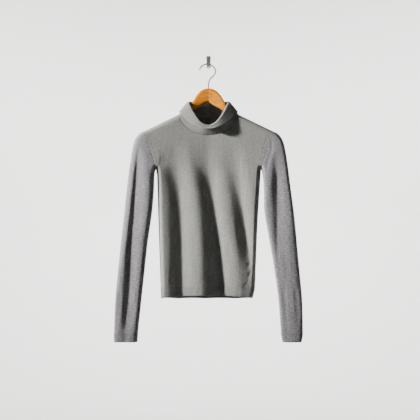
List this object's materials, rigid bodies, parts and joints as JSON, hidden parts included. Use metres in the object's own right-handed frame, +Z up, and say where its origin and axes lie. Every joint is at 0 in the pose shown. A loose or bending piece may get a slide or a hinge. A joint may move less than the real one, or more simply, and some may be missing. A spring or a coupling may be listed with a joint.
{
  "type": "turtleneck sweater on a wooden hanger with a wall hook",
  "caption": "Fine-knit grey turtleneck sweater with long sleeves, hung on a wooden hanger from a small wall hook.",
  "frame": {"origin": "middle of the wall hook's flat back face, on the wall", "axes": "+Z up, +X to the right of someone who faces the sweater's front, +Y into the wall; the front looks along -Y"},
  "size_m": [0.5425, 0.0846, 0.8235],
  "materials": {
    "knit": "fine heather grey wool jersey with a soft nap",
    "knit_rib": "fine heather grey wool rib",
    "hanger_wood": "honey-coloured wood, satin varnish",
    "hook_steel": "polished steel wire",
    "wall_hook_metal": "aged dark brass"
  },
  "bodies": {
    "root": {"front_panel": "knit", "back_panel": "knit", "sleeve_left": "knit", "sleeve_right": "knit", "collar": "knit", "hem_band": "knit_rib", "cuff_left": "knit_rib", "cuff_right": "knit_rib", "hanger_wood": "hanger_wood", "hanger_hook": "hook_steel", "wall_hook": "wall_hook_metal"}
  },
  "joints": []
}
